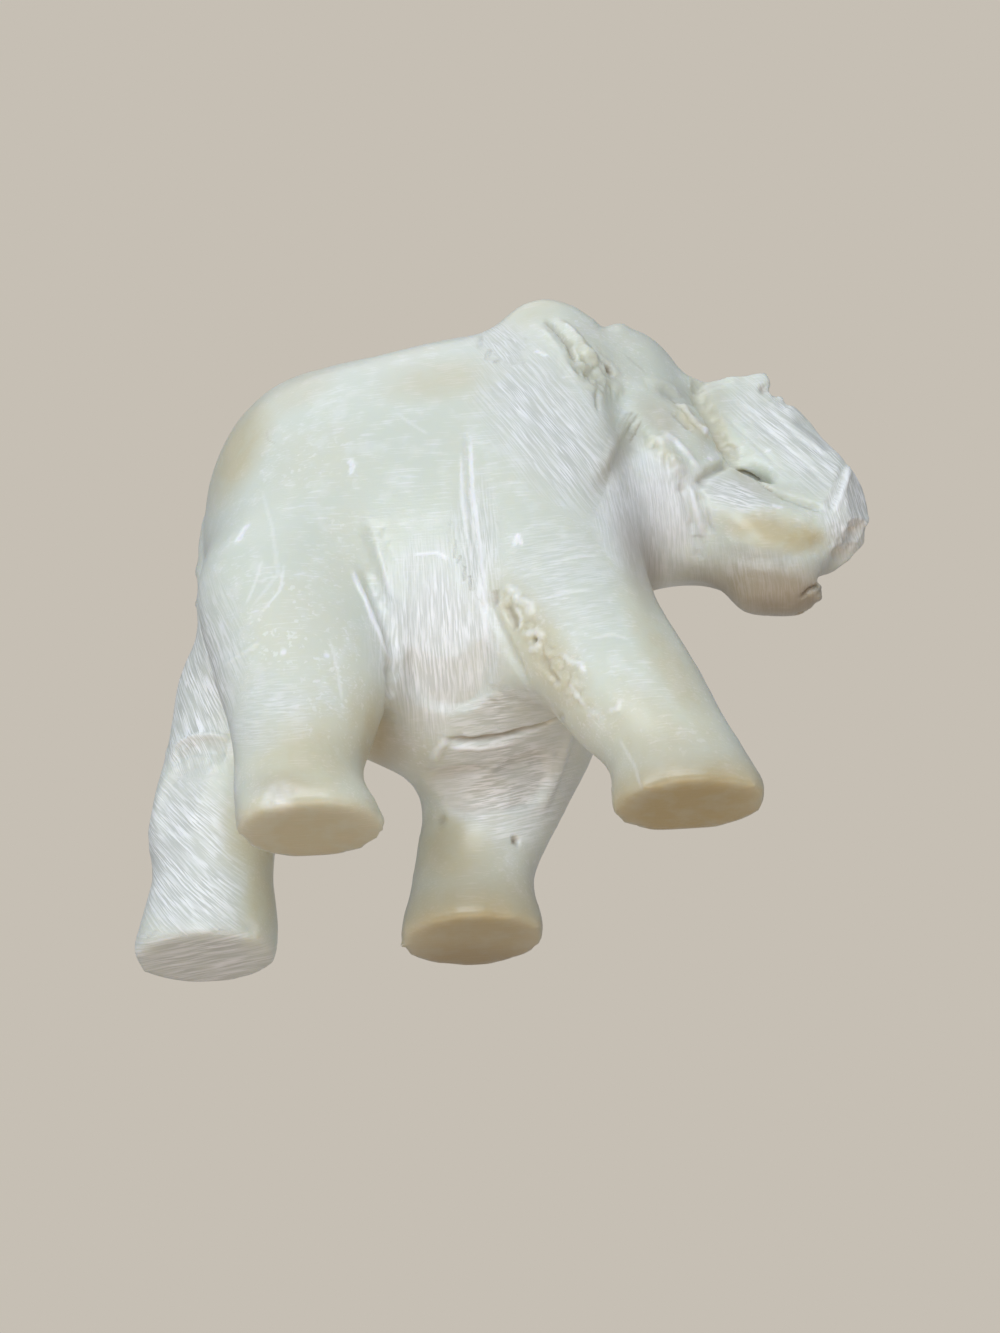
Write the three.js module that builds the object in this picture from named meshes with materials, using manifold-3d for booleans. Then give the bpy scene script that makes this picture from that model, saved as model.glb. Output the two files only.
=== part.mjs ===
// A hand-carved stone elephant that walks on four flat soles, its trunk folded back onto its forehead.
// It is one solid, in millimetres: x forwards, y to the elephant's left, z up, soles on z = 0.
import * as THREE from "three";
import { SimplifyModifier } from "three/addons/modifiers/SimplifyModifier.js";
import { mergeVertices } from "three/addons/utils/BufferGeometryUtils.js";
import Module from "manifold-3d";

// Rounded masses of the body: middle, half sizes along x, y and z, and nose-down tilt in degrees.
const BODY_MASSES = [
  { middle: [-20.5, 0, 52], half: [18.5, 19, 28], tilt: -8 },
  { middle: [-5, 0, 50.5], half: [22, 20.5, 34], tilt: 0 },
  { middle: [6, 0, 54], half: [13.5, 18, 29], tilt: 0 },
];

// Rounded masses of the head: neck, skull, brow, cheeks (one on each side), jaw and lower lip.
const HEAD_MASSES = [
  { middle: [11, 0, 62], half: [13.5, 13.5, 18.5], tilt: 0 },
  { middle: [17.5, 0, 72.2], half: [11.2, 12, 14.8], tilt: 13 },
  { middle: [24, 0, 62], half: [8.5, 10, 10], tilt: 0 },
  { middle: [22.5, 7, 57], half: [7.5, 5.6, 7.5], tilt: 0 },
  { middle: [34.4, 0, 44.2], half: [7.6, 5.4, 6.2], tilt: 0 },
  { middle: [40.4, 0, 41], half: [2.6, 4, 2.4], tilt: 0 },
];

// Legs from the sole up: height, middle along and across the body, and half sizes along and across.
const LEGS = {
  hindRight: [
    { z: -3.4, x: -22.7, y: -15.4, along: 8.8, across: 7.2 },
    { z: 1, x: -22.7, y: -15.4, along: 8.8, across: 7.2 },
    { z: 7, x: -24.3, y: -15.2, along: 7.6, across: 6.8 },
    { z: 12, x: -23.7, y: -15, along: 8.4, across: 7 },
    { z: 21, x: -24, y: -14, along: 10.5, across: 8 },
    { z: 38, x: -27, y: -11.5, along: 10.6, across: 9.5 },
    { z: 52, x: -25, y: -8, along: 7, across: 7 },
  ],
  frontRight: [
    { z: -3.4, x: 20.7, y: -15.5, along: 9.3, across: 6.6 },
    { z: 1, x: 20.7, y: -15.5, along: 9.3, across: 6.6 },
    { z: 6, x: 19.9, y: -15.4, along: 8.1, across: 6.5 },
    { z: 11, x: 17.3, y: -15, along: 8.9, across: 6.9 },
    { z: 20, x: 13.4, y: -13.8, along: 10.3, across: 7.6 },
    { z: 30, x: 9.8, y: -12.5, along: 10.3, across: 8.6 },
    { z: 50, x: 7, y: -9, along: 9.5, across: 9 },
  ],
  hindLeft: [
    { z: -3.4, x: -39.9, y: 16.3, along: 9.4, across: 8.1 },
    { z: 1, x: -39.9, y: 16.3, along: 9.4, across: 8.1 },
    { z: 6, x: -39.4, y: 16, along: 8.8, across: 7.4 },
    { z: 12, x: -39.2, y: 15.5, along: 7.9, across: 6.9 },
    { z: 18, x: -39, y: 15, along: 9, across: 7.2 },
    { z: 30, x: -35, y: 13, along: 10.4, across: 8.6 },
    { z: 42, x: -32.6, y: 11, along: 10.4, across: 9 },
    { z: 52, x: -26, y: 8, along: 7, across: 7 },
  ],
  frontLeft: [
    { z: -3.4, x: -5.6, y: 16, along: 9.6, across: 7.9 },
    { z: 1, x: -5.6, y: 16, along: 9.6, across: 7.9 },
    { z: 7.5, x: -5.4, y: 15.8, along: 8.1, across: 6.9 },
    { z: 11, x: -4.6, y: 15.6, along: 8.4, across: 6.8 },
    { z: 20, x: -1.2, y: 14.6, along: 9.8, across: 7.4 },
    { z: 26, x: 0.6, y: 13.4, along: 11, across: 8.2 },
    { z: 48, x: 4, y: 9, along: 10.5, across: 9 },
  ],
};

// Trunk in the middle plane, out from the face and then back to the forehead: half thickness and half width.
const TRUNK_OUT = [
  { x: 24, z: 53.5, thick: 6.5, wide: 8 },
  { x: 30.4, z: 50.4, thick: 7.8, wide: 9 },
  { x: 37, z: 49.6, thick: 6.8, wide: 7.6 },
  { x: 42.4, z: 50.4, thick: 6.1, wide: 6.2 },
  { x: 44.8, z: 51.8, thick: 5.8, wide: 5.8 },
];
const TRUNK_BACK = [
  { x: 45.4, z: 53.8, thick: 6, wide: 5.7 },
  { x: 42.6, z: 58.8, thick: 6.6, wide: 5.5 },
  { x: 39.2, z: 64.6, thick: 7, wide: 5.3 },
  { x: 35.6, z: 70.8, thick: 6.8, wide: 5 },
  { x: 32.9, z: 76, thick: 6.3, wide: 4.8 },
  { x: 31.4, z: 79, thick: 6, wide: 4.6 },
];
const TRUNK_END_HEIGHT = 76;
const TRUNK_SQUARENESS = 3.4;

// Web that fills the crook of the trunk, and the slit that goes through it: middle, half length and half height.
const TRUNK_WEB = { middle: [35.5, 0, 58], half: [5, 3.4, 5], tilt: 0 };
const TRUNK_SLIT = { x: 36.2, z: 56.6, length: 3.2, height: 1.7, turn: 36 };

// Ears, one on each side: a leaf that runs down the neck to a point beside the jaw.
const EAR = [
  { x: 9.2, z: 80.4, y: 8.8, along: 6.9, thick: 4.6 },
  { x: 9.5, z: 72, y: 12.4, along: 6.8, thick: 4.6 },
  { x: 11, z: 63, y: 14.6, along: 5.6, thick: 4 },
  { x: 12.8, z: 55, y: 15.6, along: 3.6, thick: 3 },
  { x: 14.2, z: 49.5, y: 15.8, along: 1.6, thick: 1.8 },
];

// Hollow between each ear and the cheek.
const EAR_HOLLOW = { middle: [19.6, 16.2, 61], half: [2.8, 5.6, 8], tilt: -10 };

// Hollows of the throat behind the jaw: one in the middle and one on each side.
const THROAT_HOLLOWS = [
  { middle: [26, 0, 38], half: [5.5, 20, 6.5], tilt: 0 },
  { middle: [27, 9, 40.5], half: [7, 7.5, 7.5], tilt: 0 },
];

// Tail that lies on the rump, turned to the left, and its half thickness.
const TAIL = [
  [-36.4, 1, 66],
  [-39.2, 2, 58],
  [-39.6, 3.4, 50],
  [-39.4, 4.4, 44],
];
const TAIL_HALF = 1.7;

// Fillets where masses run into each other, from the broad body to the crisp ear edge.
const BODY_FILLET = 9;
const LEG_FILLET = 7;
const HEAD_FILLET = 5;
const TRUNK_FILLET = 2.5;
const CREASE_FILLET = 1;
const EAR_FILLET = 3.2;
const HOLLOW_FILLET = 2;

// Space that holds the carving, the size of the cells its surface is found in, the vertices kept, and a distance
// larger than any in that space.
const SPACE = new THREE.Box3(new THREE.Vector3(-54, -28, -6), new THREE.Vector3(56, 28, 92));
const CELL = 1.5;
const KEPT_VERTICES = 4800;
const FAR_OUTSIDE = 1000;

const STONE = new THREE.MeshStandardMaterial({
  name: "alabaster",
  color: 0xe2e0d2,
  roughness: 0.42,
  metalness: 0,
});

// Runs two masses together with a fillet of the given size.
function join(a, b, fillet) {
  const overlap = Math.max(fillet - Math.abs(a - b), 0) / fillet;
  return Math.min(a, b) - overlap * overlap * fillet * 0.25;
}

// Takes the second mass out of the first, with the edge eased by the fillet.
function carve(a, b, fillet) {
  return -join(-a, b, fillet);
}

// Signed distance, near enough, to a rounded mass that may be tilted in the middle plane.
function massAt(p, mass) {
  const turn = THREE.MathUtils.degToRad(mass.tilt);
  const dx = p.x - mass.middle[0];
  const dy = p.y - mass.middle[1];
  const dz = p.z - mass.middle[2];
  const ax = (Math.cos(turn) * dx - Math.sin(turn) * dz) / mass.half[0];
  const ay = dy / mass.half[1];
  const az = (Math.sin(turn) * dx + Math.cos(turn) * dz) / mass.half[2];
  const far = Math.hypot(ax, ay, az);
  const slope = Math.hypot(ax / mass.half[0], ay / mass.half[1], az / mass.half[2]);
  return slope > 0 ? (far * (far - 1)) / slope : -Math.min(...mass.half);
}

// Smooth value of one named size between stations, at a place counted in stations.
function between(stations, place, size) {
  const last = stations.length - 1;
  const i = THREE.MathUtils.clamp(Math.floor(place), 0, last - 1);
  const t = THREE.MathUtils.clamp(place - i, 0, 1);
  const p1 = stations[i][size];
  const p2 = stations[i + 1][size];
  const m1 = (p2 - stations[Math.max(i - 1, 0)][size]) / 2;
  const m2 = (stations[Math.min(i + 2, last)][size] - p1) / 2;
  const t2 = t * t;
  const t3 = t2 * t;
  return (2 * t3 - 3 * t2 + 1) * p1 + (t3 - 2 * t2 + t) * m1 + (3 * t2 - 2 * t3) * p2 + (t3 - t2) * m2;
}

// Signed distance, near enough, to a leg: a column whose middle and size change with height.
function legAt(p, leg) {
  const last = leg.length - 1;
  const z = THREE.MathUtils.clamp(p.z, leg[0].z, leg[last].z);
  let i = 0;
  while (i < last - 1 && z > leg[i + 1].z) i += 1;
  const place = i + (z - leg[i].z) / (leg[i + 1].z - leg[i].z);
  const along = between(leg, place, "along");
  const across = between(leg, place, "across");
  const dx = (p.x - between(leg, place, "x")) / along;
  const dy = (p.y - between(leg, place, "y")) / across;
  const side = (Math.hypot(dx, dy) - 1) * Math.min(along, across);
  return Math.max(side, leg[0].z - p.z, p.z - leg[last].z);
}

// Nearest place on a path in the middle plane, counted in stations, and how far off it is.
function nearestOn(points, stations, p) {
  let best = { place: 0, off: Infinity };
  const steps = points.length - 1;
  for (let i = 0; i < steps; i += 1) {
    const a = points[i];
    const b = points[i + 1];
    const ux = b.x - a.x;
    const uz = b.z - a.z;
    const t = THREE.MathUtils.clamp(((p.x - a.x) * ux + (p.z - a.z) * uz) / (ux * ux + uz * uz), 0, 1);
    const off = Math.hypot(p.x - a.x - t * ux, p.z - a.z - t * uz);
    if (off < best.off) best = { place: ((i + t) / steps) * (stations.length - 1), off };
  }
  return best;
}

// Points along a smooth path through the stations.
function pathOf(stations) {
  const knots = stations.map((s) => new THREE.Vector3(s.x, 0, s.z));
  return new THREE.CatmullRomCurve3(knots, false, "catmullrom").getPoints(8 * (stations.length - 1));
}

const outPath = pathOf(TRUNK_OUT);
const backPath = pathOf(TRUNK_BACK);
const earPath = pathOf(EAR);
const tailPath = new THREE.CatmullRomCurve3(TAIL.map((knot) => new THREE.Vector3(...knot))).getPoints(16);

// Tail: a thin round strand in space.
function tailAt(p) {
  let off = Infinity;
  for (let i = 0; i < tailPath.length - 1; i += 1) {
    const nearest = new THREE.Line3(tailPath[i], tailPath[i + 1]).closestPointToPoint(p, true, new THREE.Vector3());
    off = Math.min(off, nearest.distanceTo(p));
  }
  return off - TAIL_HALF;
}

// One stretch of the trunk: a strand with a squarish section.
function strandAt(p, path, stations) {
  const { place, off } = nearestOn(path, stations, p);
  const thick = between(stations, place, "thick");
  const wide = between(stations, place, "wide");
  const power = TRUNK_SQUARENESS;
  const far = ((off / thick) ** power + (Math.abs(p.y) / wide) ** power) ** (1 / power);
  return (far - 1) * Math.min(thick, wide);
}

// Trunk: both stretches with the web in their crook, sawn off level at the tip.
function trunkAt(p) {
  const folded = join(strandAt(p, outPath, TRUNK_OUT), strandAt(p, backPath, TRUNK_BACK), CREASE_FILLET);
  const filled = join(folded, massAt(p, TRUNK_WEB), TRUNK_FILLET);
  return -join(-filled, TRUNK_END_HEIGHT - p.z, CREASE_FILLET);
}

// Ear on the side of the neck.
function earAt(p) {
  const { place, off } = nearestOn(earPath, EAR, p);
  const along = between(EAR, place, "along");
  const thick = between(EAR, place, "thick");
  return (Math.hypot(off / along, (p.y - between(EAR, place, "y")) / thick) - 1) * Math.min(along, thick);
}

// The whole carving: negative inside the stone, positive outside.
function elephantAt(p) {
  const mirrored = new THREE.Vector3(p.x, Math.abs(p.y), p.z);
  let stone = FAR_OUTSIDE;
  for (const mass of BODY_MASSES) stone = join(stone, massAt(p, mass), BODY_FILLET);
  for (const leg of Object.values(LEGS)) stone = join(stone, legAt(p, leg), LEG_FILLET);
  for (const mass of HEAD_MASSES) stone = join(stone, massAt(mirrored, mass), HEAD_FILLET);
  stone = join(stone, trunkAt(p), TRUNK_FILLET);
  stone = join(stone, earAt(mirrored), EAR_FILLET);
  stone = join(stone, tailAt(p), CREASE_FILLET);
  for (const hollow of THROAT_HOLLOWS) stone = carve(stone, massAt(mirrored, hollow), HOLLOW_FILLET);
  return carve(stone, massAt(mirrored, EAR_HOLLOW), HOLLOW_FILLET);
}

// Moves a point onto the surface along the steepest way.
function settle(p) {
  const step = 0.05;
  for (let round = 0; round < 4; round += 1) {
    const here = elephantAt(p);
    const slope = new THREE.Vector3(
      elephantAt(new THREE.Vector3(p.x + step, p.y, p.z)) - here,
      elephantAt(new THREE.Vector3(p.x, p.y + step, p.z)) - here,
      elephantAt(new THREE.Vector3(p.x, p.y, p.z + step)) - here,
    ).divideScalar(step);
    const move = THREE.MathUtils.clamp(here / Math.max(slope.lengthSq(), 0.1), -0.6, 0.6);
    p.addScaledVector(slope, -move);
  }
  return p;
}

// Closed skin of the carving: one vertex in each cell that the surface crosses, one quad on each crossed edge.
function skinOf() {
  const [nx, ny, nz] = SPACE.getSize(new THREE.Vector3()).divideScalar(CELL).ceil().toArray();
  const at = (i, j, k) => (i * (ny + 1) + j) * (nz + 1) + k;
  const corners = [];
  const values = [];
  for (let i = 0; i <= nx; i += 1)
    for (let j = 0; j <= ny; j += 1)
      for (let k = 0; k <= nz; k += 1) {
        const corner = new THREE.Vector3(i, j, k).multiplyScalar(CELL).add(SPACE.min);
        corners.push(corner);
        values.push(elephantAt(corner));
      }
  const vertices = [];
  const cellVertex = new Map();
  const vertexOf = (i, j, k) => {
    const key = at(i, j, k);
    if (cellVertex.has(key)) return cellVertex.get(key);
    const sum = new THREE.Vector3();
    let crossings = 0;
    for (let axis = 0; axis < 3; axis += 1)
      for (let a = 0; a < 2; a += 1)
        for (let b = 0; b < 2; b += 1) {
          const start = [[0, a, b], [a, 0, b], [a, b, 0]][axis];
          const end = start.map((n, m) => (m === axis ? 1 : n));
          const from = at(i + start[0], j + start[1], k + start[2]);
          const to = at(i + end[0], j + end[1], k + end[2]);
          if (values[from] < 0 === values[to] < 0) continue;
          sum.add(corners[from].clone().lerp(corners[to], values[from] / (values[from] - values[to])));
          crossings += 1;
        }
    cellVertex.set(key, vertices.length);
    vertices.push(settle(sum.divideScalar(crossings)));
    return vertices.length - 1;
  };
  const triangles = [];
  const quad = (a, b, c, d) => {
    const short = vertices[a].distanceTo(vertices[c]) <= vertices[b].distanceTo(vertices[d]);
    triangles.push(...(short ? [a, b, c, a, c, d] : [a, b, d, b, c, d]));
  };
  for (let i = 1; i < nx; i += 1)
    for (let j = 1; j < ny; j += 1)
      for (let k = 1; k < nz; k += 1)
        for (let axis = 0; axis < 3; axis += 1) {
          const next = [at(i + 1, j, k), at(i, j + 1, k), at(i, j, k + 1)][axis];
          const inside = values[at(i, j, k)] < 0;
          if (inside === values[next] < 0) continue;
          const ring = [
            [[i, j - 1, k - 1], [i, j, k - 1], [i, j, k], [i, j - 1, k]],
            [[i - 1, j, k - 1], [i - 1, j, k], [i, j, k], [i, j, k - 1]],
            [[i - 1, j - 1, k], [i, j - 1, k], [i, j, k], [i - 1, j, k]],
          ][axis].map((cell) => vertexOf(...cell));
          quad(...(inside ? ring : ring.reverse()));
        }
  return { vertices, triangles };
}

const wasm = await Module();
wasm.setup();

// Solid from plain vertices and triangles.
function solidOf(vertProperties, triVerts) {
  return new wasm.Manifold(
    new wasm.Mesh({ numProp: 3, vertProperties: new Float32Array(vertProperties), triVerts: new Uint32Array(triVerts) }),
  );
}

// Solid of a three.js geometry.
function solidFrom(geometry) {
  const bare = new THREE.BufferGeometry().setAttribute("position", geometry.getAttribute("position"));
  if (geometry.index) bare.setIndex(geometry.index);
  const welded = mergeVertices(bare, 1e-3);
  return solidOf(welded.attributes.position.array, welded.index.array);
}

// Block under the soles, whose top face saws the feet off flat.
function soleBlock() {
  return solidFrom(new THREE.BoxGeometry(180, 120, 20).translate(0, 0, -10));
}

// Slit through the crook of the trunk, from side to side.
function trunkSlit() {
  const outline = new THREE.Shape().absellipse(0, 0, TRUNK_SLIT.length, TRUNK_SLIT.height, 0, 2 * Math.PI);
  const slit = new THREE.ExtrudeGeometry(outline, { depth: 40, bevelEnabled: false, curveSegments: 10 });
  slit.translate(0, 0, -20).rotateX(Math.PI / 2).rotateY(THREE.MathUtils.degToRad(TRUNK_SLIT.turn));
  return solidFrom(slit.translate(TRUNK_SLIT.x, 0, TRUNK_SLIT.z));
}

const skin = skinOf();
const block = solidOf(skin.vertices.flatMap((v) => v.toArray()), skin.triangles);
const sawn = block.subtract(soleBlock()).subtract(trunkSlit()).getMesh();
const fine = new THREE.BufferGeometry();
fine.setAttribute("position", new THREE.BufferAttribute(sawn.vertProperties, 3));
fine.setIndex(new THREE.BufferAttribute(sawn.triVerts, 1));
const geometry = await new SimplifyModifier().modify(fine, sawn.numVert - KEPT_VERTICES);
geometry.computeBoundingBox();
const middle = geometry.boundingBox.getCenter(new THREE.Vector3());
geometry.translate(-middle.x, -middle.y, 0);
geometry.computeVertexNormals();

const elephant = new THREE.Mesh(geometry, STONE);
elephant.name = "elephant";
const figurine = new THREE.Group();
figurine.add(elephant);

export default figurine;
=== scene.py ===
"""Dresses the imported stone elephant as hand-carved alabaster, part polished and part left rasped.

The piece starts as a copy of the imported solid. It is given a fine skin, and the carver's cuts, chips and rasp
marks are worked into that skin where the photograph shows them. Sizes are in millimetres unless a name or its
note says otherwise, and places named as pixels are in the photograph's frame of 1000 by 1333.
"""

import logging
import math
from dataclasses import dataclass, field
from enum import Enum

import bpy
import numpy as np
from mathutils import Matrix, Vector, noise
from mathutils.bvhtree import BVHTree


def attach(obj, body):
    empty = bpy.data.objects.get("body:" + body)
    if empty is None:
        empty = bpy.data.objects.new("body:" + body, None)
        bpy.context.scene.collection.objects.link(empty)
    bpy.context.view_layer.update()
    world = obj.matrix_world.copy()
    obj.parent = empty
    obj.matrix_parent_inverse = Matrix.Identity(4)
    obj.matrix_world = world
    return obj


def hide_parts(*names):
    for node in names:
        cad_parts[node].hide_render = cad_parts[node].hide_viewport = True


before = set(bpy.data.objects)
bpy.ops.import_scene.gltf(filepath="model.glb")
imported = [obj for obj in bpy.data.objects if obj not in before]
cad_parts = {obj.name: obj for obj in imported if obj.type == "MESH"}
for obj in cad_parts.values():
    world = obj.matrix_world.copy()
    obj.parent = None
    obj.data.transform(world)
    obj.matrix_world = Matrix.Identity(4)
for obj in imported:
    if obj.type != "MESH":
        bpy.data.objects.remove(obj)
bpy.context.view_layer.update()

LOG = logging.getLogger("elephant")
MM = 0.001
Pixel = tuple[float, float]

# Turns a direction to the other side of the body.
MIRROR = np.array((1.0, -1.0, 1.0))

# Numbers of the colour sockets of the mixing node.
MIX_SHARE, MIX_UNDER, MIX_OVER = 0, 6, 7
MIX_RESULT = 2


class Cut(Enum):
    """How a carved stroke meets the surface."""

    ROUND = "a rounded hollow or roll"
    SHARP = "a narrow V with a crisp bottom or crest"


class Slot(Enum):
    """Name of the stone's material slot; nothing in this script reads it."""

    STONE = "alabaster"


@dataclass(frozen=True)
class Stroke:
    """A line worked into the stone.

    Args:
        pixels: Places that the line runs through, in the photograph.
        half: Half its width.
        depth: How far it goes in at the middle; a negative depth stands proud.
        cut: Shape of its section.
        dirt_and_shade: Share of brown dirt, with painted shade, that lies in it.
        fresh: Share of bruised white stone along it.
        mirrored: Whether the unseen left side has it too.
    """

    pixels: tuple[Pixel, ...]
    half: float
    depth: float
    cut: Cut = Cut.ROUND
    dirt_and_shade: float = 0.0
    fresh: float = 0.0
    mirrored: bool = False


@dataclass(frozen=True)
class Dab:
    """A round dent, chip or lump.

    Args:
        pixel: Its middle, in the photograph.
        radius: Its radius.
        depth: How far it goes in; a negative depth stands proud.
        dirt_and_shade: Share of brown dirt, with painted shade, that lies in it.
        fresh: Share of bruised white stone on it.
        mirrored: Whether the unseen left side has it too.
    """

    pixel: Pixel
    radius: float
    depth: float
    dirt_and_shade: float = 0.0
    fresh: float = 0.0
    mirrored: bool = False


@dataclass(frozen=True)
class Patch:
    """A soft-edged oval on the surface, as the photograph shows it.

    Args:
        middle: Its middle, in pixels.
        half: Half its length along the turned axis and across it, in pixels.
        turn: Angle of its long axis, in degrees, counted from the right towards the bottom of the picture.
        share: How strong it is at its middle.
    """

    middle: Pixel
    half: tuple[float, float]
    turn: float
    share: float

    def weight(self, pixels: np.ndarray) -> np.ndarray:
        """Strength of the patch at each pixel place.

        Args:
            pixels: Places in the photograph, one row each.

        Returns:
            Strength from 0 to share.
        """
        peak, fall = 1.5, 1.1
        angle = math.radians(self.turn)
        away = pixels - np.array(self.middle)
        along = (away[:, 0] * math.cos(angle) + away[:, 1] * math.sin(angle)) / self.half[0]
        across = (away[:, 1] * math.cos(angle) - away[:, 0] * math.sin(angle)) / self.half[1]
        return self.share * np.clip(peak - np.hypot(along, across) * fall, 0.0, 1.0)


@dataclass(frozen=True)
class RaspedPatch(Patch):
    """A patch left with the marks of the rasp.

    Args:
        way: Angle of the rasp strokes, in degrees, counted as turn is.
        furrow: Depth of the coarse furrows.
        run: Length of a stroke.
        white: Share of bruised white stone over the patch.
    """

    way: float = 90.0
    furrow: float = 0.06
    run: float = 3.5
    white: float = 0.0


@dataclass(frozen=True)
class CrumbledPatch(Patch):
    """A patch where the stone broke away in crumbs.

    Args:
        crumb: Size of a crumb.
        relief: Height of the crumbs.
        dirt_and_shade: Share of brown dirt, with painted shade, between the crumbs.
    """

    crumb: float = 1.3
    relief: float = 0.5
    dirt_and_shade: float = 0.2


@dataclass(frozen=True)
class Facet:
    """A flat left by one cut of the chisel.

    Args:
        pixel: Its middle, in the photograph.
        radius: How far the cut reaches.
        depth: How far it goes in at the middle.
        lean: How far it leans to the right and to the top of the picture, as shares of its normal.
        fresh: Share of bruised white stone on it.
    """

    pixel: Pixel
    radius: float
    depth: float
    lean: tuple[float, float] = (0.0, 0.0)
    fresh: float = 0.0


@dataclass(frozen=True)
class Nudge:
    """A push that sharpens the outline, in the plane of the picture.

    Args:
        pixel: Its middle, in the photograph.
        radius_px: How far it reaches, in pixels.
        push_px: How far the stone moves to the right and down, in pixels.
    """

    pixel: Pixel
    radius_px: float
    push_px: tuple[float, float]


# Carved lines of the ear, face and trunk.
EAR_STROKES: tuple[Stroke, ...] = (
    Stroke(((546, 320), (558, 331), (569, 344), (576, 361)), 0.6, 1.1, dirt_and_shade=0.4, mirrored=True),
    Stroke(((535, 324), (548, 336), (558, 350), (567, 367), (579, 385)), 1.1, -0.4, mirrored=True),
    Stroke(((560, 321), (574, 335), (587, 353), (600, 362)), 1.1, -0.7, mirrored=True),
    Stroke(((598, 390), (597, 400), (598, 410)), 0.5, 0.4, dirt_and_shade=0.15, mirrored=True),
    Stroke(((631, 411), (619, 432), (610, 452), (603, 470)), 1.0, -0.4, mirrored=True),
    Stroke(((644, 422), (632, 442), (620, 460), (608, 478), (593, 494)), 1.5, 0.3, dirt_and_shade=0.2, mirrored=True),
    Stroke(((641, 418), (635, 430), (629, 443)), 0.4, 0.25, Cut.SHARP, dirt_and_shade=0.6),
    Stroke(((634, 410), (627, 420), (621, 432)), 0.3, 0.2, Cut.SHARP, dirt_and_shade=0.35),
    Stroke(((639, 411), (631, 424), (624, 437)), 0.3, 0.2, Cut.SHARP, dirt_and_shade=0.4),
    Stroke(((629, 412), (622, 421), (615, 434)), 0.3, 0.2, Cut.SHARP, dirt_and_shade=0.25),
    Stroke(((624, 354), (636, 364), (648, 374)), 0.25, 0.06, dirt_and_shade=0.15),
)

FACE_STROKES: tuple[Stroke, ...] = (
    Stroke(((645, 383), (662, 383), (680, 393)), 1.5, -0.3, mirrored=True),
    Stroke(
        ((675, 404), (684, 410), (694, 423), (705, 434), (711, 438)), 0.55, -0.65, fresh=0.3, mirrored=True
    ),
    Stroke(((674, 411), (683, 421), (692, 430)), 0.9, 0.5, dirt_and_shade=0.14, mirrored=True),
    Stroke(
        ((663, 432), (676, 440), (683, 448), (691, 458), (698, 470)), 0.6, -0.35, fresh=0.45, mirrored=True
    ),
    Stroke(((646, 436), (660, 444), (672, 458), (683, 477)), 1.3, -0.75, mirrored=True),
    Stroke(((694, 475), (708, 467), (724, 456)), 1.4, -0.3, mirrored=True),
    Stroke(((697, 486), (705, 476), (718, 468), (731, 462)), 0.9, 0.9, dirt_and_shade=0.22, mirrored=True),
    Stroke(((681, 482), (688, 506), (695, 535)), 0.7, 0.9, dirt_and_shade=0.06),
    Stroke(((698, 490), (704, 510), (711, 535)), 0.6, 0.8, dirt_and_shade=0.06),
    Stroke(((690, 486), (697, 511), (703, 538)), 0.5, -0.35, fresh=0.7),
    Stroke(((697, 534), (700, 548), (699, 560)), 0.9, 0.4),
    Stroke(((716, 548), (745, 557), (785, 557), (815, 546), (836, 534)), 1.6, 0.35, mirrored=True),
    Stroke(((826, 582), (812, 589), (800, 597)), 0.45, 0.9, dirt_and_shade=0.12, mirrored=True),
)

TRUNK_STROKES: tuple[Stroke, ...] = (
    Stroke(((694, 386), (702, 406), (713, 426), (721, 443), (733, 461)), 1.7, 1.1, dirt_and_shade=0.08, mirrored=True),
    # The slit's dark brown fill is painted shade.
    Stroke(((736, 468), (752, 477), (775, 491)), 0.5, 0.8, dirt_and_shade=0.6, mirrored=True),
    Stroke(((776, 493), (801, 502), (826, 511)), 0.7, 0.9, Cut.SHARP, dirt_and_shade=0.1, mirrored=True),
    Stroke(((748, 505), (776, 511), (812, 522)), 1.6, -0.45, mirrored=True),
    Stroke(((845, 464), (838, 486), (828, 511)), 0.6, 0.6, Cut.SHARP, dirt_and_shade=0.1, mirrored=True),
    Stroke(((850, 464), (844, 487), (834, 513)), 0.6, -0.4, fresh=0.6, mirrored=True),
    Stroke(((735, 402), (775, 436), (812, 470), (832, 490)), 0.6, 0.35, fresh=0.25),
    Stroke(((765, 406), (800, 438), (838, 464)), 0.5, 0.35, fresh=0.35),
    Stroke(((722, 412), (752, 442), (790, 476)), 0.6, 0.25, fresh=0.1),
)

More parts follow.
